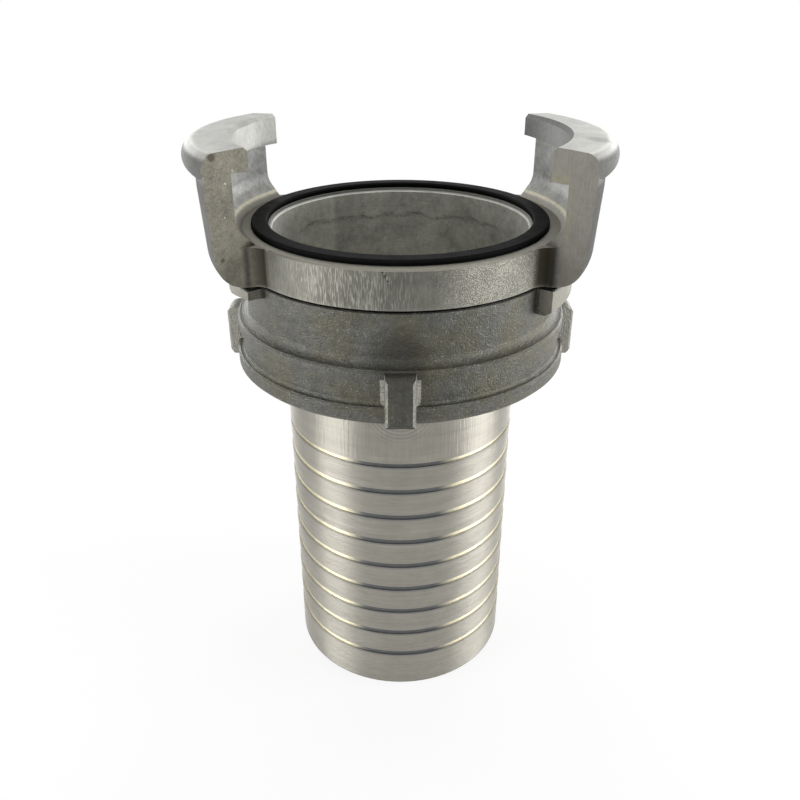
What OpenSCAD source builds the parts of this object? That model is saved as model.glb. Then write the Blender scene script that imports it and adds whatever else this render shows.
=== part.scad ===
// Symmetrical two-claw hose coupling half with a locking ring and a ridged hose tail.
// Millimetres. +Z runs up the bore to the sealing face, the claws stand on the X axis,
// and the origin is the centre of the tail's lower end.

/* [Hose tail] */
// outside diameter over the ridge lands, for a hose of 102 mm bore
tail_d = 103; // [90:0.5:116]
// waterway diameter through the tail
tail_bore_d = 95; // [80:0.5:99]
// height of the lowest ridge shoulder
first_ridge_z = 18.5; // [14:0.5:24]
// distance from one ridge shoulder to the next
ridge_pitch = 13.25; // [10:0.05:15]
// number of ridge shoulders
ridge_count = 9; // [4:1:10]
// length of the true land just under each shoulder
ridge_land = 4.2; // [2:0.1:6]
// how far the taper runs in below the land
ridge_taper = 0.4; // [0.2:0.05:0.8]
// height of the relief groove above each shoulder
groove_h = 2.0; // [1:0.1:3]
// depth of the relief groove below the land
groove_depth = 0.8; // [0.4:0.05:1.2]
// plain length between the top ridge and the neck
plain_len = 27; // [20:0.5:40]
// bevel on the tail's lower rim
tail_bevel = 0.8; // [0.5:0.1:2.5]

/* [Head] */
// neck diameter that the locking ring turns on
neck_d = 120; // [118:0.1:122]
// neck length below the flange
neck_len = 40.4; // [39:0.1:46]
// flange thickness
flange_t = 15.4; // [13:0.1:20]
// waterway diameter at the sealing face
head_bore_d = 107.2; // [100:0.1:108]
// depth below the sealing face where the wide waterway starts to narrow
head_bore_depth = 38; // [30:0.5:45]
// height of the taper between the two waterway diameters
bore_taper_h = 18; // [10:0.5:24]
// bevel on the flange's upper edge
flange_bevel = 0.7; // [0.3:0.1:1.5]

/* [Claws] */
// distance between the two lips across the axis
claw_spacing = 133; // [132.6:0.1:136]
// half of the angle that one claw covers
claw_half = 34; // [26:0.5:36]
// how far the lip reaches in from the claw's stem
lip_w = 7.1; // [6:0.1:9]
// thickness of the claw's stem in its middle
stem_t = 7.2; // [6:0.1:9]
// how much thicker the stem is at its two ends
stem_swell = 3.6; // [2.5:0.1:4.5]
// how far the middle of the cap stands out over the stem
cap_bulge = 5.4; // [4:0.1:6]
// how far the cap still stands out over the stem at its two ends
cap_over = 0.3; // [0.1:0.1:1]
// radius of the rounded outer edge of the cap
cap_round = 6; // [4:0.1:6.5]
// height of the lip's underside above the sealing face, at the middle of the claw
claw_reach = 25.6; // [24:0.1:30]
// lip thickness at the middle of the claw
lip_t = 10.9; // [9:0.1:12]
// how far the cap's top falls towards its outer edge
cap_fall = 0.9; // [0.5:0.1:2.5]
// bevel on the lip's inner top edge
lip_edge = 1.8; // [0.5:0.1:3]
// radius of the hollow fillet between claw and flange
claw_fillet = 10; // [5:0.5:12]
// height of the sloping web inside the claw's foot
web_h = 7.2; // [5:0.1:9]
// radius of the hollow between the web and the stem
web_round = 8; // [3:0.5:10]
// radius of the rounded foot under the stem
foot_round = 12; // [9:0.5:13]
// how far the stem leans in from the cap down to the foot
foot_lean = 1.4; // [0.5:0.1:2.5]
// height over which the stem leans in
foot_lean_h = 24; // [18:0.5:26]

/* [Gasket] */
// width of the gasket
gasket_w = 7; // [5:0.1:8]
// width of the metal rim between waterway and gasket
inner_rim = 1.4; // [1.2:0.1:2.5]
// height of the gasket above the metal face
gasket_proud = 2.2; // [1:0.1:3]
// depth of the gasket groove
gasket_depth = 6.4; // [5:0.1:8]
// least metal left outside the gasket groove
groove_wall = 1.2; // [0.8:0.1:2]
// how far the gasket's foot runs under the groove's outer wall
gasket_foot = 0.9; // [0.4:0.1:1.2]
// height of the gasket's foot
gasket_foot_h = 2.2; // [1.5:0.1:3]
// bevel on the gasket's upper edges
gasket_bevel = 0.7; // [0.3:0.1:1.2]
// bevel where the waterway meets the sealing face, beside the gasket
inner_rim_bevel = 0.8; // [0.4:0.1:1]

/* [Locking ring] */
// radius of the bead under the band
bead_r = 70.8; // [70.2:0.1:71.5]
// radius of the gripping belt under the bead
belt_r = 69.2; // [68:0.1:70]
// radius of the ring's lowest part
skirt_r = 71.8; // [70.6:0.1:72.5]
// height of the lowest part
skirt_h = 7.4; // [6:0.1:10]
// height of the gripping belt
belt_h = 11.4; // [8:0.1:12]
// height of the bead's straight edge
bead_h = 3.4; // [2:0.1:4]
// bevel on the upper edges of bead and skirt
bead_edge = 0.8; // [0.3:0.1:1.2]
// height of the plain band
band_h = 20.9; // [19:0.1:21.2]
// bevel on the ring's top edge
ring_edge = 0.6; // [0.2:0.1:1]
// bevel on the ring's bottom edge
skirt_under = 1.7; // [0.5:0.1:2.5]
// hollow fillet where the band meets the bead
band_fillet = 4; // [2:0.1:4]
// hollow fillet where the belt meets the skirt
belt_fillet = 1.6; // [0.8:0.1:1.8]
// half of the angle that one clamping rim covers
rim_half = 37; // [30:0.5:38]
// rim thickness at its thin leading end
rim_lead_t = 3.7; // [3:0.1:5]
// rim thickness where the lead-in ends
rim_ramp_t = 7.3; // [6:0.1:8.5]
// rim thickness at its thick end
rim_end_t = 10.6; // [9:0.1:12]
// angle from the rim's middle to the end of the lead-in
rim_lead_angle = 21; // [15:0.5:26]
// width of the bevel on the rim's lower outer edge
rim_bevel_w = 2.8; // [1:0.1:4]
// height of the same bevel at the thick end
rim_bevel_h = 2.1; // [1:0.1:4]
// bevel on the rim's upper outer edge
rim_edge = 0.6; // [0.2:0.1:1]
// outermost radius of the four spanner lugs
lug_r = 76.3; // [74.5:0.1:77]
// width of a lug across its front face
lug_w = 11; // [8:0.1:14]
// height that the lug's middle crest stands out
lug_crest = 0.5; // [0.2:0.1:1]
// radius of the lug's upper outer corner
lug_round = 4; // [2:0.1:5]
// how far the lug's top lies under the ledge
lug_drop = 0.6; // [0.2:0.1:1.5]
// how far each side of a lug widens towards its root
lug_draft = 0.6; // [0.2:0.1:1]
// bevel on the lug's two front edges
lug_edge = 0.9; // [0.3:0.1:1.5]
// width of the bevel that runs into the belt beside each lug
lug_flare = 1.6; // [1:0.1:2.5]
// bevel under the lug
lug_under = 2.3; // [0.5:0.1:3]
// height of the shoulder inside the ring that rests on the wire
shoulder_h = 11.2; // [9:0.1:14]

/* [Retaining wire] */
// diameter of the wire
wire_d = 3.2; // [2.6:0.1:3.4]
// opening between the wire's ends, as an angle
wire_gap = 14; // [8:1:30]
// how far the wire's centre line lies outside the neck
wire_out = 0.5; // [0.3:0.05:0.8]

/* [Fits] */
// radial clearance between the lips and what they pass over: flange and plain band
lip_clear = 0.5; // [0.3:0.1:1]
// radial clearance between the clamping rims and the mating claws' stems
rim_clear = 0.5; // [0.3:0.1:1]
// radial running clearance between locking ring and neck
run_fit = 0.1; // [0.05:0.01:0.1]
// end play of the locking ring above the wire
end_play = 0.3; // [0.2:0.05:0.5]
// gap between the flange and the locking ring
ring_gap = 0.9; // [0.5:0.1:1.5]
// clearance round the seated gasket and wire
seat_fit = 0.05; // [0.02:0.01:0.1]
// room between the wire and the ring's pocket
pocket_fit = 1.5; // [1:0.1:2]

/* [Hidden] */
$fn = 144;
// small overlap between solids that are joined
join = 0.01;
tail_r = tail_d / 2;
tail_bore_r = tail_bore_d / 2;
neck_r = neck_d / 2;
head_bore_r = head_bore_d / 2;
lip_r = claw_spacing / 2;
stem_in_r = lip_r + lip_w;
stem_out_r = stem_in_r + stem_t;
stem_end_r = stem_out_r + stem_swell;
cap_r = stem_out_r + cap_bulge;
cap_end_r = stem_end_r + cap_over;
flange_r = lip_r - lip_clear;
band_r = flange_r;
rim_r = stem_in_r - rim_clear;
gasket_ir = head_bore_r + inner_rim;
gasket_or = gasket_ir + gasket_w;
wire_r = wire_d / 2;
ridge_top_z = first_ridge_z + ridge_pitch * (ridge_count - 1);
plain_top_z = ridge_top_z + plain_len;
neck_z = plain_top_z + (neck_r - tail_r);
flange_z = neck_z + neck_len;
face_z = flange_z + flange_t;
bore_wide_z = face_z - head_bore_depth;
bore_narrow_z = bore_wide_z - bore_taper_h;
lip_z = face_z + claw_reach;
cap_z = lip_z + lip_t;
cap_belly_z = cap_z - cap_fall - cap_round;
stem_top_z = cap_belly_z - 1;
groove_floor_z = face_z - gasket_depth;
// locking ring, from its top downwards
ring_top_z = flange_z - ring_gap;
ledge_z = ring_top_z - band_h;
bead_z = ledge_z - bead_h;
belt_z = bead_z - belt_h;
ring_z = belt_z - skirt_h;
ring_bore_r = neck_r + run_fit;
// the wire lies half in the neck's groove, and the ring's inner shoulder rests on it
wire_track_r = neck_r + wire_out;
shoulder_z = ring_z + shoulder_h;
wire_z = shoulder_z - end_play - wire_r;
pocket_r = wire_track_r + wire_r + pocket_fit;
// in plan, stem and cap are each bounded by a circle through their middle and their two ends
function plan_radius(middle, end) =
    let (across = middle - end * cos(claw_half), along = end * sin(claw_half))
    (pow(across, 2) + pow(along, 2)) / (2 * across);
stem_plan_r = plan_radius(stem_out_r, stem_end_r);
stem_plan_x = stem_out_r - stem_plan_r;
cap_plan_r = plan_radius(cap_r, cap_end_r);
cap_plan_x = cap_r - cap_plan_r;
// the foot is an arc that takes over from the leaning stem and ends just under the flange
foot_under = 0.4;
foot_z = flange_z + foot_round - foot_under;
foot_hub_r = stem_plan_r - foot_lean - foot_round;
// hollow fillet between the flange's wall and the claw's end face, set in a little so that
// it crosses both instead of just touching them
fillet_set = 0.08;
fillet_hub = flange_r + claw_fillet - fillet_set;
fillet_swing = asin((claw_fillet - fillet_set) / fillet_hub);
fillet_reach = fillet_hub * cos(fillet_swing);
fillet_at = claw_half + fillet_swing;
// the rim's underside is two planes, laid out along Y at the rim's middle radius
rim_mid_r = (band_r + rim_r) / 2;
rim_end_y = rim_mid_r * sin(rim_half);
rim_lead_y = rim_mid_r * sin(rim_lead_angle);
// the lips slope as the rims do, so that the two meet face to face
clamp_slope = (rim_end_t - rim_ramp_t) / (rim_end_y + rim_lead_y);
lug_top_z = ledge_z - lug_drop;

// cut for a bevel on the corner of an outline at radius r and height z:
// side is 1 for an outer corner and -1 for an inner one, up is 1 for an upper corner
module corner_cut(r, z, width, side = 1, up = 1) {
    translate([r, z])
        polygon([
            [-side * width, 0],
            [0, -up * width],
            [side, -up * width],
            [side, up],
            [-side * width, up]
        ]);
}

// outside of the tail: lands, tapers and relief grooves, from the lower rim up
module tail_outline() {
    difference() {
        square([tail_r, plain_top_z]);
        corner_cut(tail_r, 0, tail_bevel, up = -1);
        for (i = [0 : ridge_count - 1]) {
            shoulder_at = first_ridge_z + i * ridge_pitch;
            translate([tail_r - groove_depth, shoulder_at])
                square([groove_depth + 1, groove_h]);
            // the taper runs in from the land to the groove below
            if (i > 0)
                polygon([
                    [tail_r, shoulder_at - ridge_land],
                    [tail_r - ridge_taper, shoulder_at - ridge_pitch + groove_h - join],
                    [tail_r + 1, shoulder_at - ridge_pitch + groove_h - join],
                    [tail_r + 1, shoulder_at - ridge_land]
                ]);
        }
    }
}

// neck and flange, down to the cone that meets the tail
module head_outline() {
    polygon([
        [0, plain_top_z - 1],
        [tail_r, plain_top_z - 1],
        [tail_r, plain_top_z],
        [neck_r, neck_z],
        [neck_r, flange_z],
        [flange_r, flange_z],
        [flange_r, face_z - flange_bevel],
        [flange_r - flange_bevel, face_z],
        [0, face_z]
    ]);
}

// waterway, with a bevelled mouth at both ends
module bore_outline() {
    polygon([
        [0, -1],
        [tail_bore_r + 2, -1],
        [tail_bore_r, 1],
        [tail_bore_r, bore_narrow_z],
        [head_bore_r, bore_wide_z],
        [head_bore_r, face_z - 1 - inner_rim_bevel],
        [head_bore_r + inner_rim_bevel, face_z - 1],
        [head_bore_r + inner_rim_bevel, face_z + 1],
        [0, face_z + 1]
    ]);
}

module gasket_groove_outline() {
    translate([gasket_ir, groove_floor_z])
        square([gasket_or - gasket_ir, gasket_depth + 1]);
    translate([gasket_ir, groove_floor_z])
        square([gasket_or - gasket_ir + gasket_foot, gasket_foot_h]);
}

// outside of one claw's stem in section about its own, offset centre: foot, lean and upright
module stem_outline() {
    translate([foot_hub_r, foot_z])
        circle(r = foot_round);
    polygon([
        [-stem_plan_x, flange_z],
        [foot_hub_r, flange_z],
        [foot_hub_r + foot_round, foot_z],
        [stem_plan_r, foot_z + foot_lean_h],
        [stem_plan_r, stem_top_z],
        [-stem_plan_x, stem_top_z]
    ]);
}

// space inside one claw, down to the web and the sealing face
module claw_space_outline() {
    wall = stem_in_r;
    hub_z = face_z + web_h + web_round * tan(22.5);
    polygon([
        [0, face_z],
        [wall - web_h, face_z],
        [wall - web_round * (1 - cos(45)), hub_z - web_round * sin(45)],
        [wall - web_round, hub_z],
        [wall, hub_z],
        [wall, cap_z],
        [0, cap_z]
    ]);
    translate([wall - web_round, hub_z])
        circle(r = web_round);
}

// cap in section about its own, offset centre
module cap_outline() {
    edge = cap_plan_r - cap_round;
    within = lip_r - cap_plan_x - 1;
    low_z = cap_belly_z - 2 * cap_round;
    translate([edge, cap_belly_z])
        circle(r = cap_round);
    polygon([
        [within, low_z],
        [edge, low_z],
        [edge, cap_belly_z + cap_round],
        [within, cap_z]
    ]);
}

// space between the lips, which widens at the bevel on their inner top edges
module lip_space_outline() {
    polygon([
        [0, 0],
        [lip_r, 0],
        [lip_r, cap_z - lip_edge],
        [lip_r + lip_edge + 1, cap_z + 1],
        [0, cap_z + 1]
    ]);
}

// plan of the metal that fills the corner between the flange's wall and the claw's end face
module fillet_plan() {
    inside = claw_half - 3;
    difference() {
        polygon([
            [0, 0],
            [fillet_reach * cos(inside), fillet_reach * sin(inside)],
            [fillet_reach * cos(claw_half), fillet_reach * sin(claw_half)],
            [fillet_hub * cos(fillet_at), fillet_hub * sin(fillet_at)]
        ]);
        rotate(fillet_at)
            translate([fillet_hub, 0])
                circle(r = claw_fillet);
    }
}

// prisms that bound one claw on +X: its wedge, and the hollow fillets beside the flange
module claw_limits() {
    reach = 2 * cap_r;
    translate([0, 0, flange_z - 1]) {
        linear_extrude(height = cap_z - flange_z + 2)
            polygon([
                [0, 0],
                [reach * cos(claw_half), -reach * sin(claw_half)],
                [reach * cos(claw_half), reach * sin(claw_half)]
            ]);
        linear_extrude(height = flange_t + 1)
            for (side = [0, 1])
                mirror([0, side])
                    fillet_plan();
    }
}

// space under the lip of the claw on +X, with the lip's slope on top
module under_lip() {
    rise = stem_in_r * clamp_slope;
    intersection() {
        cylinder(r = stem_in_r, h = cap_z);
        rotate([90, 0, 90])
            linear_extrude(height = cap_r)
                polygon([
                    [-stem_in_r, 0],
                    [stem_in_r, 0],
                    [stem_in_r, lip_z + rise],
                    [-stem_in_r, lip_z - rise]
                ]);
    }
}

module claw() {
    intersection() {
        union() {
            difference() {
                translate([stem_plan_x, 0, 0])
                    rotate_extrude()
                        stem_outline();
                cylinder(r = gasket_or + groove_wall, h = cap_z);
                rotate_extrude()
                    claw_space_outline();
            }
            difference() {
                translate([cap_plan_x, 0, 0])
                    rotate_extrude()
                        cap_outline();
                rotate_extrude()
                    lip_space_outline();
                under_lip();
            }
        }
        claw_limits();
    }
}

module claw_body() {
    color([0.62, 0.62, 0.59]) {
        rotate_extrude()
            difference() {
                union() {
                    tail_outline();
                    head_outline();
                }
                bore_outline();
                gasket_groove_outline();
                // groove for the retaining wire
                translate([wire_track_r, wire_z])
                    circle(r = wire_r + seat_fit, $fn = 48);
            }
        claw();
        rotate(180)
            claw();
    }
}

module gasket() {
    color([0.07, 0.07, 0.07])
        rotate_extrude()
            difference() {
                union() {
                    translate([gasket_ir + seat_fit, groove_floor_z])
                        square([gasket_or - gasket_ir - 2 * seat_fit, gasket_depth + gasket_proud]);
                    translate([gasket_ir + seat_fit, groove_floor_z])
                        square([
                            gasket_or - gasket_ir + gasket_foot - 2 * seat_fit,
                            gasket_foot_h - seat_fit
                        ]);
                }
                corner_cut(gasket_or - seat_fit, face_z + gasket_proud, gasket_bevel);
                corner_cut(gasket_ir + seat_fit, face_z + gasket_proud, gasket_bevel, side = -1);
            }
}

// metal that fills the corner between an upright wall at radius r and a ledge at height z
module hollow_corner(r, z, size) {
    difference() {
        translate([r - 0.5, z - 0.5])
            square(size + 0.5);
        translate([r + size, z + size])
            circle(r = size, $fn = 48);
    }
}

module ring_outline() {
    difference() {
        union() {
            translate([ring_bore_r, belt_z])
                square([band_r - ring_bore_r, ring_top_z - belt_z]);
            translate([ring_bore_r, bead_z])
                square([bead_r - ring_bore_r, bead_h]);
            translate([ring_bore_r, belt_z])
                square([belt_r - ring_bore_r, belt_h + join]);
            translate([ring_bore_r, ring_z])
                square([skirt_r - ring_bore_r, skirt_h]);
            hollow_corner(band_r, ledge_z, band_fillet);
            hollow_corner(belt_r, belt_z, belt_fillet);
        }
        // pocket below the inner shoulder, round the wire
        translate([ring_bore_r - 1, ring_z - 1])
            square([pocket_r - ring_bore_r + 1, shoulder_z - ring_z + 1]);
        corner_cut(bead_r, ledge_z, bead_edge);
        corner_cut(skirt_r, belt_z, bead_edge);
        corner_cut(band_r, ring_top_z, ring_edge);
        corner_cut(skirt_r, ring_z, skirt_under, up = -1);
    }
}

// one clamping rim on +X, thick at its front end and thin at its leading end
module clamping_rim() {
    thick_z = ring_top_z - rim_end_t;
    difference() {
        rotate_extrude(angle = 2 * rim_half, start = -rim_half)
            polygon([
                [band_r - 2, thick_z - rim_bevel_h],
                [rim_r - rim_bevel_w, thick_z - rim_bevel_h],
                [rim_r - rim_bevel_w, thick_z],
                [rim_r, thick_z + rim_bevel_h],
                [rim_r, ring_top_z - rim_edge],
                [rim_r - rim_edge, ring_top_z],
                [band_r - 2, ring_top_z]
            ]);
        // the two planes of the underside, seen along the X axis
        rotate([90, 0, 90])
            linear_extrude(height = 2 * rim_r)
                polygon([
                    [-rim_r, ring_z],
                    [-rim_r, thick_z - (rim_r - rim_end_y) * clamp_slope],
                    [rim_lead_y, ring_top_z - rim_ramp_t],
                    [rim_end_y, ring_top_z - rim_lead_t],
                    [rim_r, ring_top_z - rim_lead_t],
                    [rim_r, ring_z]
                ]);
    }
}

// half of a lug in plan: front crest, bevelled edge, flank, root and flare
module lug_half_plan() {
    face_r = lug_r - lug_crest;
    half = lug_w / 2;
    root_half = half + lug_draft;
    polygon([
        [pocket_r + 1, -join],
        [lug_r, -join],
        [lug_r, 0],
        [face_r, half - lug_edge],
        [face_r - lug_edge, half],
        [belt_r + lug_flare / 2, root_half],
        [belt_r - lug_edge / 2, root_half + lug_flare],
        [pocket_r + 1, root_half + lug_flare]
    ]);
}

// lug in side view: rounded upper outer corner and a bevel underneath
module lug_side() {
    corner_r = lug_r - lug_round;
    corner_z = lug_top_z - lug_round;
    translate([corner_r, corner_z])
        circle(r = lug_round, $fn = 48);
    polygon([
        [pocket_r, ring_z],
        [lug_r - lug_under, ring_z],
        [lug_r, ring_z + lug_under],
        [lug_r, corner_z],
        [corner_r, corner_z],
        [corner_r, lug_top_z],
        [pocket_r, lug_top_z]
    ]);
}

// one spanner lug on +X
module lug() {
    intersection() {
        translate([0, 0, ring_z])
            linear_extrude(height = lug_top_z - ring_z)
                for (side = [0, 1])
                    mirror([0, side])
                        lug_half_plan();
        translate([0, lug_w, 0])
            rotate([90, 0, 0])
                linear_extrude(height = 2 * lug_w)
                    lug_side();
    }
}

module locking_ring() {
    color([0.5, 0.5, 0.48]) {
        rotate_extrude()
            ring_outline();
        for (side = [0, 180])
            rotate(side)
                clamping_rim();
        for (quarter = [0 : 90 : 270])
            rotate(quarter)
                lug();
    }
}

module retaining_wire() {
    color([0.75, 0.75, 0.75])
        rotate_extrude(angle = 360 - wire_gap, start = 90 + wire_gap / 2)
            translate([wire_track_r, wire_z])
                circle(r = wire_r, $fn = 32);
}

claw_body();
gasket();
locking_ring();
retaining_wire();
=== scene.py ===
# Hose coupling with claws, gasket and locking ring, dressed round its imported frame.
import math

import bmesh
import bpy
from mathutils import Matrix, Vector


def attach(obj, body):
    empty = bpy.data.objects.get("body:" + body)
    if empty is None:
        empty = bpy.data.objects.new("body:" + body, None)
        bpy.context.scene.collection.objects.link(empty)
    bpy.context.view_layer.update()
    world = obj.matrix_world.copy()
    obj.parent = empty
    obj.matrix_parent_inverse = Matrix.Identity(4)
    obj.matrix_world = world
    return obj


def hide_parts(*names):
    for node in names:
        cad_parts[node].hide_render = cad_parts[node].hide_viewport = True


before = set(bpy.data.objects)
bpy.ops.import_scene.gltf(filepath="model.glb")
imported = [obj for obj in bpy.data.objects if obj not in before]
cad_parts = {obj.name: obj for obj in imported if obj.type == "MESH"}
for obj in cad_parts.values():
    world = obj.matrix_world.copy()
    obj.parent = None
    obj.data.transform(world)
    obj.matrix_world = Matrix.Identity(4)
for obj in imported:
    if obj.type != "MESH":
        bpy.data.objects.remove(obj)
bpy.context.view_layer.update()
print("frame loaded")


# a colour as a screen shows it, 0 to 255, as the shader wants it
def paint(*shown):
    return tuple(((part / 255 + 0.055) / 1.055) ** 2.4 for part in shown)


# One shader socket, so that masks and patterns read as plain sums.
class Sock:
    def __init__(self, nodes, socket):
        self.nodes = nodes
        self.socket = socket

    def maths(self, operation, *others):
        return self.nodes.maths(operation, self, *others)

    def __add__(self, other):
        return self.maths("ADD", other)

    def __radd__(self, other):
        return self.nodes.maths("ADD", other, self)

    def __sub__(self, other):
        return self.maths("SUBTRACT", other)

    def __rsub__(self, other):
        return self.nodes.maths("SUBTRACT", other, self)

    def __mul__(self, other):
        return self.maths("MULTIPLY", other)

    def __rmul__(self, other):
        return self.nodes.maths("MULTIPLY", other, self)

    def __truediv__(self, other):
        return self.maths("DIVIDE", other)

    def __rtruediv__(self, other):
        return self.nodes.maths("DIVIDE", other, self)

    def __neg__(self):
        return self.maths("MULTIPLY", -1.0)

    def __abs__(self):
        return self.maths("ABSOLUTE")

    def sine(self):
        return self.maths("SINE")

    def root(self):
        return self.maths("SQRT")

    def least(self, other):
        return self.maths("MINIMUM", other)

    def most(self, other):
        return self.maths("MAXIMUM", other)

    # 0 below low, 1 above high, smooth between; low may be the larger one
    def step(self, low, high):
        settings = {"interpolation_type": "SMOOTHSTEP"}
        if low < high:
            values = {"Value": self, "From Min": low, "From Max": high}
        else:
            values = {"Value": self, "From Min": high, "From Max": low, "To Min": 1.0, "To Max": 0.0}
        return self.nodes.node("ShaderNodeMapRange", settings, values)

    # 1 between low and high, with soft ends
    def band(self, low, high, soft):
        return self.step(low - soft, low + soft) * self.step(high + soft, high - soft)

    # the first value where the mask is 0, the second where it is 1
    def between(self, first, second):
        return self * (second - first) + first

    # the mask broken up by a grain: 0.5 leaves about half of it, 1 nearly all
    def broken(self, grain, solid):
        return self * (grain + solid).least(1.0)


# The node tree of a material or the world, and the one way of making its nodes.
class Nodes:
    def __init__(self, owner):
        owner.use_nodes = True
        self.tree = owner.node_tree
        self.tree.nodes.clear()

    # any node: its type, its settings, the values or links of its sockets, and the output wanted
    def node(self, kind, settings, values, output=0):
        made = self.tree.nodes.new(kind)
        for key, value in settings.items():
            setattr(made, key, value)
        for key, value in values.items():
            socket = made.inputs[key]
            if isinstance(value, Sock):
                self.tree.links.new(value.socket, socket)
            elif socket.type == "RGBA":
                socket.default_value = (*value, 1.0)
            else:
                socket.default_value = value
        return Sock(self, made.outputs[output]) if made.outputs else None

    def maths(self, operation, *parts):
        return self.node("ShaderNodeMath", {"operation": operation}, dict(enumerate(parts)))

    # 1 for the rays that show a background: the camera's, and those off metal or through glass
    def backgroundRays(self):
        camera = self.node("ShaderNodeLightPath", {}, {}, "Is Camera Ray")
        glossy = self.node("ShaderNodeLightPath", {}, {}, "Is Glossy Ray")
        through = self.node("ShaderNodeLightPath", {}, {}, "Is Transmission Ray")
        return camera.most(glossy).most(through)

    def blend(self, share, first, second):
        return self.node("ShaderNodeMixShader", {}, {0: share, 1: first, 2: second})


# One material. Besides the place of each point in millimetres and the way its surface faces, it has every
# grain, area and mark of its look under that name.
class Finish(Nodes):
    def __init__(self, name, look):
        self.material = bpy.data.materials.new(name)
        super().__init__(self.material)
        self.look = look
        place = self.node("ShaderNodeTexCoord", {}, {}, "Object")
        self.millimetres = self.node("ShaderNodeVectorMath", {"operation": "SCALE"},
                                     {"Vector": place, "Scale": 1000.0})
        self.x, self.y, self.z = self.parts(self.millimetres)
        self.radius = (self.x * self.x + self.y * self.y).root()
        self.aside = abs(self.x)
        self.slant = self.aside / abs(self.y)  # 0 in front and behind, rising towards the claws
        facingX, facingY, self.up = self.parts(self.node("ShaderNodeTexCoord", {}, {}, "Normal"))
        self.outward = (self.x * facingX + self.y * facingY) / self.radius
        self.along = abs(self.x * facingY - self.y * facingX) / self.radius
        edge = self.node("ShaderNodeAttribute", {"attribute_name": "rounded"}, {}, "Fac")
        self.crest = edge.most(0.0)
        self.hollow = (-edge).most(0.0)
        for grain, settings in look["grains"].items():
            setattr(self, grain, self.grain(*settings))
        for area, rows in look.get("areas", {}).items():
            setattr(self, area, self.area(rows))
        for mark, places in look.get("marks", {}).items():
            setattr(self, mark, self.spots(places))

    def parts(self, vector):
        return [self.node("ShaderNodeSeparateXYZ", {}, {"Vector": vector}, axis) for axis in "XYZ"]

    def mix(self, share, first, second):
        return self.node("ShaderNodeMix", {"data_type": "RGBA"}, {0: share, 6: first, 7: second}, 2)

    # noise that swings about 0, on the place stretched along x, y and z, in grains per millimetre
    def grain(self, stretch, scale, detail, roughness):
        vector = self.node("ShaderNodeVectorMath", {"operation": "MULTIPLY"},
                           {0: self.millimetres, 1: stretch})
        values = {"Vector": vector, "Scale": scale, "Detail": detail, "Roughness": roughness}
        return self.node("ShaderNodeTexNoise", {}, values, "Fac") - 0.5

    # 1 where each row's measure is past its limits, which may fall; a third number makes a soft band of them
    def area(self, rows):
        mask = 1
        for measure, *limits in rows:
            value = getattr(self, measure)
            mask = mask * (value.step(*limits) if len(limits) == 2 else value.band(*limits))
        return mask

    def away(self, point):
        return self.node("ShaderNodeVectorMath", {"operation": "DISTANCE"},
                         {0: self.millimetres, 1: point}, "Value")

    # round spots in one mask, from pairs of place and radius, each full over its core's share of the radius
    def spots(self, places, core=0.35):
        mask = 0
        for point, size in places:
            mask = self.away(point).step(size, size * core).most(mask)
        return mask

    # a colour made darker or lighter
    def shade(self, colour, factor):
        return self.node("ShaderNodeVectorMath", {"operation": "SCALE"}, {0: colour, "Scale": factor})

    # an entry's plain value, 1 if it has none, with its share of each grain or mask that it names
    def weighed(self, entry):
        total = entry.get("plain", 1.0)
        for name, share in entry.items():
            if name not in ("colour", "cover", "plain"):
                total = total + getattr(self, name) * share
        return total

    def toned(self, tone):
        entry = self.look["tones"][tone]
        return self.shade(entry["colour"], self.weighed(entry))

    # a tone laid over a colour where the mask is 1, covering as much of it as the tone's entry says
    def laid(self, colour, mask, tone):
        return self.mix(mask * self.look["tones"][tone].get("cover", 1.0), colour, self.toned(tone))

    def shader(self, colour, roughness, metallic, height):
        bump = self.node("ShaderNodeBump", {},
                         {"Strength": 1.0, "Distance": self.look["depth"], "Height": height}, "Normal")
        values = {"Base Color": colour, "Roughness": roughness, "Metallic": metallic, "Normal": bump}
        values.update(self.look.get("gloss", {}))
        surface = self.node("ShaderNodeBsdfPrincipled", {}, values, "BSDF")
        self.node("ShaderNodeOutputMaterial", {}, {"Surface": surface})
        return self.material


rounding = {"flatDegrees": 0.3, "sharpDegrees": 24.0, "mergeWithin": 1e-6, "segments": 2}


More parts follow.
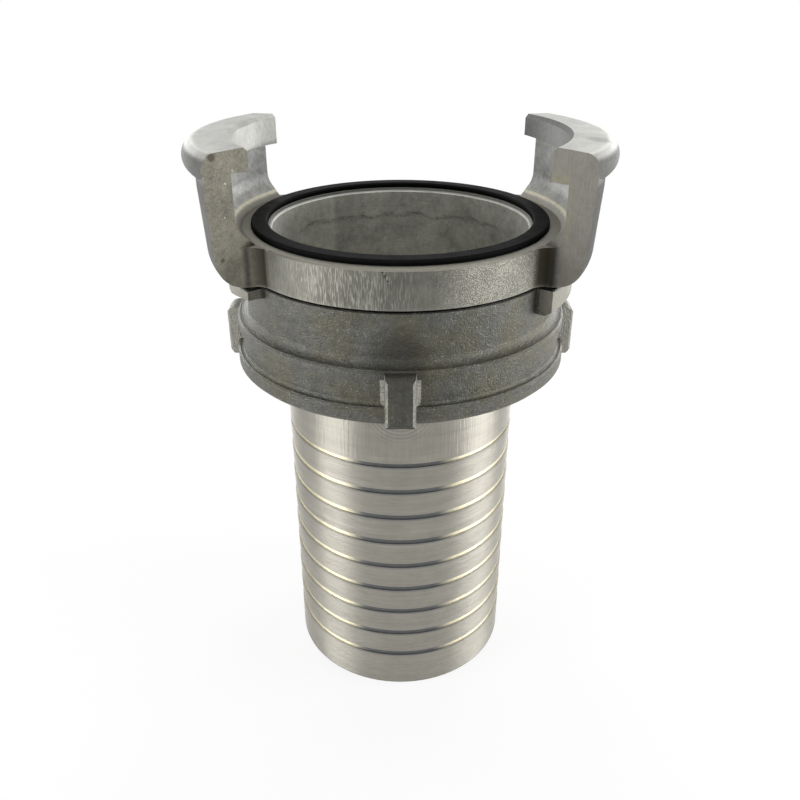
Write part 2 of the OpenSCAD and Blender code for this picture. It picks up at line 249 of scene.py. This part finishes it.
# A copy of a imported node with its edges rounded, which stands for the node. The attribute "rounded" is
# 1 on an outer edge's rounding, -1 in an inner corner's and 0 elsewhere.
def roundedCopy(nodeName, pieceName, body, edgeWidth):
    mesh = bmesh.new()
    mesh.from_mesh(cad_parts[nodeName].data)
    rounded = mesh.loops.layers.float.new("rounded")
    bmesh.ops.remove_doubles(mesh, verts=mesh.verts, dist=rounding["mergeWithin"])
    bmesh.ops.dissolve_limit(mesh, angle_limit=math.radians(rounding["flatDegrees"]),
                             verts=mesh.verts, edges=mesh.edges)
    sharp = [edge for edge in mesh.edges
             if edge.is_manifold and edge.calc_face_angle() > math.radians(rounding["sharpDegrees"])]
    made = bmesh.ops.bevel(mesh, geom=sharp, offset=edgeWidth, offset_type="OFFSET", affect="EDGES",
                           segments=rounding["segments"], profile=0.5, material=-1, clamp_overlap=True)
    mesh.normal_update()
    for face in made["faces"]:
        middle = face.calc_center_median()
        rise = sum((other.calc_center_median() - middle).normalized().dot(face.normal)
                   for edge in face.edges for other in edge.link_faces if other is not face)
        for loop in face.loops:
            loop[rounded] = -1.0 if rise > 0.0 else 1.0
    bmesh.ops.triangulate(mesh, faces=[face for face in mesh.faces if len(face.verts) > 4])
    for face in mesh.faces:
        face.smooth = True
    data = bpy.data.meshes.new(pieceName)
    mesh.to_mesh(data)
    mesh.free()
    piece = bpy.data.objects.new(pieceName, data)
    bpy.context.scene.collection.objects.link(piece)
    piece.modifiers.new("evenNormals", "WEIGHTED_NORMAL").keep_sharp = True
    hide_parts(nodeName)
    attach(piece, body)
    print(pieceName, "has", len(data.polygons), "faces")
    return piece


# Turned aluminium of the hose tail: lines round it, grooves and edges with a painted reflection that is dark
# in front and bright at the sides, upright chatter and faint painted reflection arcs of the ring on the plain
# top, and painted shade in the hollows, along each groove's lip and along the bottom end.
def tailFinish(look):
    metal = Finish("tailAluminium", look)
    groove = look["groove"]
    turns = (metal.z - groove["first"]) / groove["pitch"] + 0.5
    fromGroove = (turns.maths("FRACT") - 0.5) * groove["pitch"]
    lip = fromGroove.band(*groove["lip"]) * metal.ridged
    # faint arcs of a painted reflection of the ring's underside, on the front of the plain top
    fromRingReflection = metal.away(look["ripple"]["centre"])
    metal.ripples = (fromRingReflection * look["ripple"]["waves"]).sine() * fromRingReflection.step(*look["ripple"]["reach"])
    metal.topTurning = metal.turning * metal.plainTop
    metal.topChatter = metal.chatter * metal.plainTop
    # painted reflection on the grooves and ledge edges: dark in front and behind, bright and yellowish at the
    # sides
    edge = metal.mix(metal.front, metal.toned("sideReflection"), metal.toned("frontReflection"))
    colour = metal.toned("turned")
    colour = metal.mix(metal.grooved * metal.front.between(*look["grooveCover"]), colour, edge)
    edgeWearAndReflection = (metal.ledge + metal.crest).least(1.0)
    colour = metal.mix(edgeWearAndReflection * metal.front.between(*look["edgeCover"]), colour, edge)
    # painted shade in the hollows, deeper in front and behind
    colour = metal.laid(colour, metal.hollow * metal.front.between(*look["hollowCover"]), "hollowShadeAndDirt")
    # a painted shade line along the lip of each groove
    colour = metal.laid(colour, lip, "lip")
    # painted shade along the bottom end
    colour = metal.laid(colour, metal.wornEnd, "bottomShade")
    calm = metal.plainTop.between(1.0, look["topCalm"])
    metal.rings = (metal.turning * look["ringShare"] + metal.broadTurning) * calm
    return metal.shader(colour, metal.weighed(look["roughness"]), look["metallic"],
                        metal.weighed(look["relief"]))


# Aluminium casting of the head: turned wall, face and bore, ground end faces, bright caps, the rest as cast.
def headFinish(look):
    metal = Finish("headAluminium", look)
    metal.corner = metal.corner * (metal.cornerLeft + metal.cornerRight) * (1 - metal.top * look["cornerTop"])
    metal.skinSide = metal.side * (1 - metal.cap)
    metal.pitted = metal.pits.broken(metal.mottle, look["pitSolid"])
    rimOutline = metal.crest * metal.endOutline * (metal.rightSide + metal.innerHalf).least(1.0)

    # colours, from the casting's skin up to what lies on it
    colour = metal.toned("cast")
    colour = metal.laid(colour, metal.wall, "wall")
    # a wavy stain line in the bore
    stainHeight = metal.z + metal.blotch * look["stainWander"]
    boreStain = stainHeight.band(*look["stainHeight"]) * metal.stained
    colour = metal.mix(metal.bore, colour, metal.laid(metal.toned("bore"), boreStain, "stain"))
    strip = metal.innerStrip.broken(metal.mottle, look["stripSolid"]) * look["stripShare"]
    rightEnd = metal.laid(metal.toned("endRight"), (metal.skinPatch + strip).least(1.0), "skinPatch")
    colour = metal.laid(colour, metal.endFace * metal.leftSide, "endLeft")
    colour = metal.mix(metal.endFace * metal.rightSide, colour, rightEnd)
    stemShade = 1 - metal.stemSide * metal.rightSide * look["stemShade"]
    colour = metal.mix(metal.side, colour, metal.shade(metal.toned("side"), stemShade))
    colour = metal.laid(colour, metal.stemInside * (1 - metal.lipInside), "stemInside")
    colour = metal.laid(colour, metal.web, "web")
    bright = metal.cap * (1 - metal.side * look["capSide"]) + metal.lipInside * metal.leftSide
    colour = metal.laid(colour, bright.least(1.0), "cap")
    colour = metal.laid(colour, metal.lipInside * metal.rightSide, "scoop")
    colour = metal.laid(colour, metal.shadeBand.broken(metal.fineUpright, look["bandSolid"]), "shadeBand")
    colour = metal.laid(colour, metal.land, "land")
    webFoot = metal.webFoot * (1 - metal.side) * (1 - metal.endFace)
    colour = metal.laid(colour, webFoot.broken(metal.mottle, look["footSolid"]), "webFoot")
    colour = metal.laid(colour, metal.roughPatch * metal.rough, "roughPatch")
    # painted shade in the corners beside the claws
    colour = metal.laid(colour, metal.corner, "corner")
    colour = metal.laid(colour, metal.rimInside, "rim")
    colour = metal.laid(colour, metal.crest * (1 - rimOutline), "rubbed")
    # painted shade along the outlines of the end faces
    colour = metal.laid(colour, rimOutline, "outline")
    # painted shade and dirt in the inner corners
    colour = metal.laid(colour, metal.hollow, "hollowShadeAndDirt")
    # painted shadow in the gap between the head and the ring
    colour = metal.laid(colour, metal.gapFace, "gap")
    colour = metal.laid(colour, metal.pitted, "pit")
    colour = metal.laid(colour, metal.specks * metal.speckled, "speck")

    machined = (metal.wall + metal.bore + metal.rimInside).least(1.0)
    metal.boreRings = metal.turning * metal.bore
    metal.grinding = metal.upright * (metal.wall + metal.endFace * metal.rightSide)
    metal.castSkin = (metal.mottle + metal.sand * look["sandShare"]) * (1 - machined)
    metal.coarseWall = metal.fineSand * metal.wall * metal.coarseSide
    return metal.shader(colour, metal.weighed(look["roughness"]), metal.weighed(look["metallic"]),
                        metal.weighed(look["relief"]))


# In each look a grain has its stretch, grains per millimetre, detail and roughness. An area has rows of a
# measure and its limits: x, y, z, radius and aside in millimetres, the slant, a grain, or how far the surface
# faces up, outward (both negative the other way) or along the round. A tone has its colour, the share of each
# grain or mask in it, and how much it covers of the colour below. A mark has its places and radii in
# millimetres. Depth is the bump's, in metres.
tailLook = {
    "grains": {
        "blotch": ((1.0, 1.0, 1.0), 0.10, 3.0, 0.6),
        "mottle": ((1.0, 1.0, 1.0), 0.45, 4.0, 0.65),
        "turning": ((0.05, 0.05, 1.0), 2.2, 2.0, 0.6),
        "broadTurning": ((0.03, 0.03, 1.0), 0.35, 2.0, 0.55),
        "chatter": ((1.0, 1.0, 0.04), 1.3, 1.0, 0.55),
    },
    "areas": {
        "plainTop": [("z", 126.5, 128.5)],
        "ridged": [("z", 12.0, 128.0, 1.0)],
        "grooved": [("z", 12.0, 128.0, 1.0), ("radius", 51.05, 50.85)],
        "ledge": [("z", 10.0, 12.0), ("up", 0.35, 0.7)],
        # where the painted reflection on the grooves and edges is dark
        "front": [("aside", 26.0, 15.0)],  # the back as well
        "wornEnd": [("z", 1.5, 0.7)],
    },
    "tones": {
        "turned": {"colour": paint(152, 149, 140), "turning": 0.34, "topTurning": -0.2, "broadTurning": 0.3,
                   "blotch": 0.3, "topChatter": 0.22, "ripples": 0.16},
        # the painted reflection on the grooves and edges, in front and at the sides
        "frontReflection": {"colour": paint(96, 100, 104), "mottle": 0.7},
        "sideReflection": {"colour": paint(238, 230, 200), "mottle": 0.7},
        "lip": {"colour": paint(96, 100, 104), "cover": 0.4},
        "hollowShadeAndDirt": {"colour": paint(66, 64, 58)},
        "bottomShade": {"colour": paint(66, 64, 58), "cover": 0.7},
    },
    "groove": {"first": 18.5, "pitch": 13.25, "lip": (-0.8, 0.1, 0.2)},
    "ripple": {"centre": (0.0, -51.5, 152.0), "waves": 3.7, "reach": (20.0, 7.0)},
    # painted reflection and shade over grooves, edges and hollows: at the sides, and in front
    "grooveCover": (0.65, 0.8),
    "edgeCover": (0.3, 0.6),
    "hollowCover": (0.2, 0.5),
    "ringShare": 0.6,
    "topCalm": 0.3,
    "relief": {"rings": 2.0, "mottle": 0.2, "topChatter": 0.4},
    "depth": 0.0002,
    "roughness": {"plain": 0.45, "grooved": 0.1, "mottle": 0.12},
    "metallic": 0.85,
    "gloss": {"Anisotropic": 0.9, "Anisotropic Rotation": 0.25},
}
headLook = {
    "grains": {
        "blotch": ((1.0, 1.0, 1.0), 0.10, 3.0, 0.6),
        "mottle": ((1.0, 1.0, 1.0), 0.45, 4.0, 0.65),
        "sand": ((1.0, 1.0, 1.0), 1.5, 2.0, 0.6),
        "fineSand": ((1.0, 1.0, 1.0), 2.6, 2.0, 0.7),
        "turning": ((0.04, 0.04, 1.0), 2.2, 2.0, 0.6),
        "upright": ((1.0, 1.0, 0.07), 1.1, 3.0, 0.6),
        "fineUpright": ((1.0, 1.0, 0.07), 3.6, 2.0, 0.6),
    },
    "areas": {
        "top": [("up", 0.45, 0.8)],
        "leftSide": [("x", 4.0, -4.0)],
        "rightSide": [("x", -4.0, 4.0)],
        # the turned wall and what marks it
        "wall": [("outward", 0.2, 0.5), ("z", 198.0, 202.0), ("z", 219.0, 216.5), ("radius", 66.8, 66.3)],
        "scratched": [("fineUpright", -0.02, 0.14), ("x", 16.0, -16.0)],
        "scratchedLeft": [("fineUpright", -0.02, 0.14), ("x", 16.0, -16.0), ("x", -26.0, -44.0)],
        "coarse": [("fineSand", -0.05, 0.12), ("x", 2.0, 34.0)],
        "coarseSide": [("x", 2.0, 30.0)],
        # the bore and the face round the gasket
        "bore": [("outward", -0.2, -0.5), ("radius", 56.0, 55.0)],
        # the bore made paler on the left, a painted reflection
        "paleStrip": [("x", -29.5, -32.5)],
        "stained": [("mottle", -0.14, 0.04), ("sand", -0.14, 0.02), ("y", 20.0, 34.0)],
        "rimInside": [("radius", 58.0, 57.0), ("z", 214.0, 214.6)],
        "land": [("up", 0.45, 0.8), ("z", 198.0, 202.0), ("z", 217.6, 216.8), ("radius", 60.0, 61.0)],
        # the claws, on whose end faces the slant is 1.48
        "endFace": [("along", 0.55, 0.8), ("z", 198.0, 202.0)],
        "endUpper": [("z", 206.0, 246.0)],
        "endOutline": [("slant", 1.44, 1.53, 0.02)],
        "innerHalf": [("radius", 76.0, 74.0)],
        "skinPatch": [("z", 236.0, 239.0), ("z", 242.9, 242.3), ("radius", 73.9, 73.3)],
        "innerStrip": [("z", 241.5, 239.0), ("radius", 73.9, 76.0, 0.5)],
        "side": [("outward", 0.2, 0.5), ("z", 198.0, 202.0), ("radius", 69.5, 71.0)],
        "stemSide": [("outward", 0.2, 0.5), ("z", 198.0, 202.0), ("z", 241.0, 239.0), ("radius", 69.5, 71.0)],
        "lipInside": [("outward", -0.2, -0.5), ("z", 240.0, 242.0), ("radius", 60.0, 62.0)],
        "stemInside": [("outward", -0.2, -0.5), ("z", 216.5, 219.0), ("radius", 60.0, 62.0)],
        "cap": [("up", 0.45, 0.8), ("z", 245.0, 247.0)],
        "web": [("up", 0.45, 0.8), ("z", 216.5, 219.0), ("z", 247.0, 245.0)],
        "webFoot": [("z", 217.7, 218.7, 0.35), ("radius", 62.0, 63.0)],
        "rough": [("mottle", -0.06, 0.1)],
        "speckled": [("sand", -0.15, 0.1)],
        # the painted shade in the corners beside the claws, and the face over the ring with the painted
        # shadow of the gap
        "corner": [("z", 198.0, 202.0), ("z", 219.0, 216.5), ("radius", 64.8, 66.2)],
        "cornerLeft": [("x", 4.0, -4.0), ("slant", 1.12, 1.24), ("radius", 73.5, 66.0)],
        "cornerRight": [("x", -4.0, 4.0), ("slant", 1.21, 1.46, 0.08), ("radius", 71.7, 70.3)],
        "gapFace": [("up", -0.5, -0.8), ("z", 199.5, 201.2, 0.3), ("radius", 74.0, 72.0)],
    },
    "tones": {
        "cast": {"colour": paint(138, 136, 129), "mottle": 0.9, "blotch": 0.5},
        "wall": {"colour": paint(100, 99, 92), "upright": 0.5, "blotch": 0.8, "scratched": 1.485,
                 "scratchedLeft": -1.1, "coarse": 2.09},
        "bore": {"colour": paint(180, 180, 172), "mottle": 0.9, "blotch": 0.9, "sand": 0.5,
                 "paleStrip": 0.35},
        "stain": {"colour": paint(50, 46, 38), "cover": 0.6},
        "endLeft": {"colour": paint(135, 132, 119), "plain": 1.12, "endUpper": -0.26, "mottle": 1.1,
                    "sand": 0.8, "fineSand": 1.0, "blotch": 0.5},
        "endRight": {"colour": paint(118, 116, 108), "fineUpright": 0.8, "mottle": 0.4, "blotch": 0.5},
        "skinPatch": {"colour": paint(130, 126, 106), "mottle": 0.8, "cover": 0.6},
        "side": {"colour": paint(84, 83, 80), "mottle": 0.9, "blotch": 0.6},
        "stemInside": {"colour": paint(134, 135, 132), "mottle": 1.3, "blotch": 0.8},
        "web": {"colour": paint(134, 134, 129), "mottle": 1.5, "sand": 0.5, "blotch": 0.8},
        "webFoot": {"colour": paint(198, 191, 165)},
        "cap": {"colour": paint(173, 173, 168), "plain": 1.04, "leftSide": -0.13, "mottle": 0.55,
                "blotch": 0.7},
        "scoop": {"colour": paint(94, 95, 93), "mottle": 0.9},
        "shadeBand": {"colour": paint(84, 83, 80), "cover": 0.6},
        "roughPatch": {"colour": paint(50, 46, 38), "cover": 0.5},
        "land": {"colour": paint(128, 126, 116), "mottle": 0.5},
        "rim": {"colour": paint(140, 139, 134)},
        "corner": {"colour": paint(44, 40, 27), "cover": 0.92},
        "rubbed": {"colour": paint(232, 229, 216), "cover": 0.7},
        "outline": {"colour": paint(50, 46, 38), "cover": 0.7},
        "hollowShadeAndDirt": {"colour": paint(50, 46, 38), "cover": 0.75},
        "gap": {"colour": paint(14, 13, 11)},
        "pit": {"colour": paint(60, 50, 38), "cover": 0.75},
        "speck": {"colour": paint(225, 225, 220), "cover": 0.7},
    },
    "marks": {
        "pits": [((-66.9, -45.1, 249.8), 1.9), ((-66.3, -44.7, 212.1), 1.1), ((-5.4, -65.7, 213.2), 1.0),
                 ((-4.4, -65.8, 211.4), 0.7), ((-6.3, -65.7, 214.6), 0.7)],
        "specks": [((-60.5, -40.8, 244.3), 0.7), ((-63.1, -42.6, 240.1), 0.6), ((-64.2, -43.3, 228.0), 0.5)],
        "shadeBand": [((75.5, -20.5, 251.5), 7.0)],
        "roughPatch": [((66.5, 32.0, 225.0), 8.0)],
    },
    "stainHeight": (202.2, 203.8, 0.8),
    "stainWander": 9.0,
    "stripShare": 0.7,
    "stripSolid": 0.6,
    "bandSolid": 0.7,
    "footSolid": 0.65,
    "pitSolid": 0.85,
    "stemShade": 0.4,
    "capSide": 0.5,
    "cornerTop": 0.6,
    "sandShare": 0.6,
    "relief": {"boreRings": 0.6, "grinding": 0.5, "castSkin": 0.9, "coarseWall": 1.5, "pitted": -2.0},
    "depth": 0.0002,
    "roughness": {"plain": 0.46, "corner": 0.3, "cap": -0.06, "endFace": 0.1, "mottle": 0.15, "crest": -0.1,
                  "skinSide": 0.2, "stemSide": 0.2},
    "metallic": {"plain": 0.5, "wall": 0.2, "cap": 0.1, "endFace": -0.2, "crest": 0.3, "corner": 0.4,
                 "skinSide": -0.35, "stemSide": -0.15},
    "gloss": {"Specular IOR Level": 0.35, "Specular Tint": (0.75, 0.75, 0.75)},
}
bodyLook = {"edgeWidth": 0.0005, "tailTop": 0.157, "outwardLeast": -1e-5}
body = roundedCopy("claw_body", "clawBody", "claw_body", bodyLook["edgeWidth"])
body.data.materials.append(headFinish(headLook))
body.data.materials.append(tailFinish(tailLook))
for face in body.data.polygons:
    facing = face.center.xy.dot(face.normal.xy)
    if face.center.z < bodyLook["tailTop"] and facing > bodyLook["outwardLeast"]:
        face.material_index = 1


# Aluminium casting of the ring: grainy grey skin with olive patches and painted sparkle, a dark front patch
# of painted shade and stain, paler rims, pale flanks and a dark face on each lug, rubbed edges, painted shade
# in the hollows and painted shadow under the head.
def ringFinish(look):
    metal = Finish("ringAluminium", look)
    colour = metal.mix(metal.patches, metal.toned("cast"), metal.toned("olive"))
    # painted glints on the grains of the skin
    colour = metal.laid(colour, metal.sparkles, "sparkle")
    colour = metal.laid(colour, metal.rims, "rims")
    # painted shade and a stain on the front of the band
    colour = metal.laid(colour, metal.stain.broken(metal.mottle, look["stainAndShadeSolid"]), "stain")
    colour = metal.laid(colour, metal.lugFace * (1 - metal.flank), "lugFace")
    colour = metal.laid(colour, metal.flank, "flank")
    colour = metal.laid(colour, metal.crest, "rubbed")
    # painted shade in the hollows
    colour = metal.laid(colour, metal.hollow, "hollowShadeAndDirt")
    # painted shadow in the gap under the head
    colour = metal.laid(colour, metal.gapFace, "gap")
    return metal.shader(colour, metal.weighed(look["roughness"]), metal.weighed(look["metallic"]),
                        metal.weighed(look["relief"]))


ringLook = {
    "grains": {
        "blotch": ((1.0, 1.0, 1.0), 0.07, 3.0, 0.6),
        "mottle": ((1.0, 1.0, 1.0), 0.35, 4.0, 0.7),
        "sand": ((1.0, 1.0, 1.0), 1.4, 2.0, 0.65),
        "streak": ((0.12, 0.12, 1.0), 0.6, 3.0, 0.55),
        "upright": ((1.0, 1.0, 0.08), 0.5, 2.0, 0.55),
    },
    "areas": {
        "patches": [("blotch", -0.12, 0.12)],
        "sparkles": [("sand", 0.1, 0.24), ("mottle", -0.15, 0.15)],
        "rims": [("radius", 67.0, 68.0), ("z", 184.0, 186.0)],
        "flank": [("along", 0.25, 0.6), ("z", 180.0, 178.0)],
        "lugFace": [("radius", 74.0, 75.2), ("z", 180.0, 178.0)],
        "gapFace": [("up", 0.5, 0.8), ("z", 198.9, 199.3)],
    },
    "tones": {
        "cast": {"colour": paint(84, 84, 79), "plain": 1.03, "mottle": 1.4, "blotch": 0.9, "streak": 0.6},
        "olive": {"colour": paint(78, 76, 64), "plain": 1.03, "mottle": 1.4, "blotch": 0.9, "streak": 0.6},
        "sparkle": {"colour": paint(185, 184, 178), "cover": 0.4},
        "rims": {"colour": paint(122, 120, 110), "mottle": 0.6, "blotch": 0.6},
        "stain": {"colour": paint(36, 34, 26), "cover": 0.85},
        "lugFace": {"colour": paint(60, 59, 50), "upright": 1.2, "mottle": 0.8, "cover": 0.6},
        "flank": {"colour": paint(136, 135, 127), "sand": 1.5, "mottle": 0.8, "cover": 0.8},
        "rubbed": {"colour": paint(196, 195, 186), "cover": 0.85},
        "hollowShadeAndDirt": {"colour": paint(36, 34, 26), "cover": 0.8},
        "gap": {"colour": paint(14, 13, 11)},
    },
    "marks": {"stain": [((0.0, -70.0, 182.0), 16.0)]},
    "stainAndShadeSolid": 0.7,
    "relief": {"mottle": 0.9, "sand": 1.2},
    "depth": 0.0003,
    "roughness": {"plain": 0.48, "mottle": 0.2, "crest": -0.12},
    "metallic": {"plain": 0.55, "crest": 0.3},
    "edgeWidth": 0.0008,
}
ring = roundedCopy("locking_ring", "lockingRing", "locking_ring", ringLook["edgeWidth"])
ring.data.materials.append(ringFinish(ringLook))


# Black rubber, matt, with a moulded skin, a little dust and slightly paler edges.
def rubberFinish(look):
    rubber = Finish("gasketRubber", look)
    colour = rubber.laid(rubber.toned("rubber"), rubber.dust, "dust")
    colour = rubber.laid(colour, rubber.crest, "edgeWearAndReflection")
    return rubber.shader(colour, rubber.weighed(look["roughness"]), 0.0, rubber.skin)


gasketLook = {
    "grains": {"cloud": ((1.0, 1.0, 1.0), 0.12, 4.0, 0.6), "skin": ((1.0, 1.0, 1.0), 1.8, 3.0, 0.6)},
    "areas": {"dust": [("cloud", 0.0, 0.18), ("skin", -0.1, 0.1)], "flanks": [("up", 0.8, 0.3)]},
    "tones": {
        "rubber": {"colour": paint(11, 12, 11)},
        "dust": {"colour": paint(32, 35, 32), "cover": 0.5},
        "edgeWearAndReflection": {"colour": paint(46, 48, 46), "cover": 0.15},
    },
    "depth": 0.00008,
    "roughness": {"plain": 0.52, "cloud": 0.2, "dust": 0.15, "flanks": 0.3},
    "gloss": {"Specular IOR Level": 0.025},
    "edgeWidth": 0.00025,
}
gasket = roundedCopy("gasket", "gasketRing", "claw_body", gasketLook["edgeWidth"])
gasket.data.materials.append(rubberFinish(gasketLook))


# Drawn spring wire, grey and greased.
def wireFinish(look):
    steel = Finish("wireSteel", look)
    colour = steel.laid(steel.toned("steel"), steel.greased, "grease")
    return steel.shader(colour, steel.weighed(look["roughness"]), 1.0, steel.drawn)


wireLook = {
    "grains": {"drawn": ((0.1, 0.1, 1.0), 3.0, 2.0, 0.55), "grease": ((1.0, 1.0, 1.0), 0.2, 3.0, 0.55)},
    "areas": {"greased": [("grease", -0.05, 0.1)]},
    "tones": {
        "steel": {"colour": paint(165, 165, 168)},
        "grease": {"colour": paint(96, 88, 70), "cover": 0.6},
    },
    "depth": 0.00005,
    "roughness": {"plain": 0.375, "grease": 0.25},
}
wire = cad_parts["retaining_wire"]
wire.material_slots[0].material = wireFinish(wireLook)
print("materials made")

# camera, where the photograph was taken from
cameraPlace = {"away": 0.33652, "height": 0.30869, "aside": -0.000177, "down": 28.05, "lens": 36.49,
               "sensor": 36.0, "nearest": 0.01}
cameraData = bpy.data.cameras.new("camera")
cameraData.lens = cameraPlace["lens"]
cameraData.sensor_width = cameraPlace["sensor"]
cameraData.clip_start = cameraPlace["nearest"]
camera = bpy.data.objects.new("camera", cameraData)
camera.location = (cameraPlace["aside"], -cameraPlace["away"], cameraPlace["height"])
camera.rotation_euler = (math.radians(90.0 - cameraPlace["down"]), 0.0, 0.0)
bpy.context.scene.collection.objects.link(camera)
bpy.context.scene.camera = camera
bpy.context.scene.view_settings.view_transform = "Standard"
print("camera set")

# soft light: a plain room, soft boxes at the sides, smaller ones behind and one above
lampBoxes = {
    "left": {"at": (-0.67, -0.32, 0.26), "size": (0.42, 0.5), "power": 4.7},
    "right": {"at": (0.72, -0.13, 0.26), "size": (0.46, 0.5), "power": 5.9},
    "rearLeft": {"at": (-0.50, 0.62, 0.26), "size": (0.4, 0.5), "power": 2.5},
    "rearRight": {"at": (0.50, 0.62, 0.26), "size": (0.4, 0.5), "power": 3.0},
    "top": {"at": (0.0, 0.30, 0.95), "size": (0.7, 0.7), "power": 4.2},
}
lampAim = Vector((0.0, 0.0, 0.13))
for name, box in lampBoxes.items():
    lampData = bpy.data.lights.new(name, "AREA")
    lampData.shape = "RECTANGLE"
    lampData.size, lampData.size_y = box["size"]
    lampData.energy = box["power"]
    lamp = bpy.data.objects.new(name + "Lamp", lampData)
    lamp.location = box["at"]
    lamp.rotation_euler = (lampAim - lamp.location).to_track_quat("-Z", "Y").to_euler()
    bpy.context.scene.collection.objects.link(lamp)

roomLight = {"room": (0.26, 0.26, 0.26), "paper": (0.8, 0.8, 0.8), "white": (1.0, 1.0, 1.0),
             "floorSize": 3.0, "floorShadow": 0.14, "fade": (0.2, 0.7)}
world = bpy.data.worlds.new("room")
bpy.context.scene.world = world
room = Nodes(world)
plain = room.node("ShaderNodeBackground", {}, {"Color": roomLight["room"]})
white = room.node("ShaderNodeBackground", {}, {"Color": roomLight["white"]})
room.node("ShaderNodeOutputWorld", {}, {"Surface": room.blend(room.backgroundRays(), plain, white)})

# pale floor, white in the picture apart from the object's soft shadow, and clear from beneath
floorMesh = bmesh.new()
bmesh.ops.create_grid(floorMesh, x_segments=1, y_segments=1, size=roomLight["floorSize"])
floorData = bpy.data.meshes.new("floor")
floorMesh.to_mesh(floorData)
floorMesh.free()
floor = bpy.data.objects.new("floor", floorData)
bpy.context.scene.collection.objects.link(floor)
floorMaterial = bpy.data.materials.new("floorPaper")
sheet = Nodes(floorMaterial)
paper = sheet.node("ShaderNodeBsdfDiffuse", {}, {"Color": roomLight["paper"]})
glow = sheet.node("ShaderNodeEmission", {}, {"Color": roomLight["white"]})
clear = sheet.node("ShaderNodeBsdfTransparent", {}, {})
place = sheet.node("ShaderNodeTexCoord", {}, {}, "Object")
away = sheet.node("ShaderNodeVectorMath", {"operation": "LENGTH"}, {0: place}, "Value")
bare = 1 - roomLight["floorShadow"] * (1 - away.step(*roomLight["fade"]))
beneath = sheet.node("ShaderNodeNewGeometry", {}, {}, "Backfacing")
shown = sheet.blend(sheet.backgroundRays() * bare, paper, glow)
sheet.node("ShaderNodeOutputMaterial", {}, {"Surface": sheet.blend(beneath, shown, clear)})
floorData.materials.append(floorMaterial)
print("light and floor set")
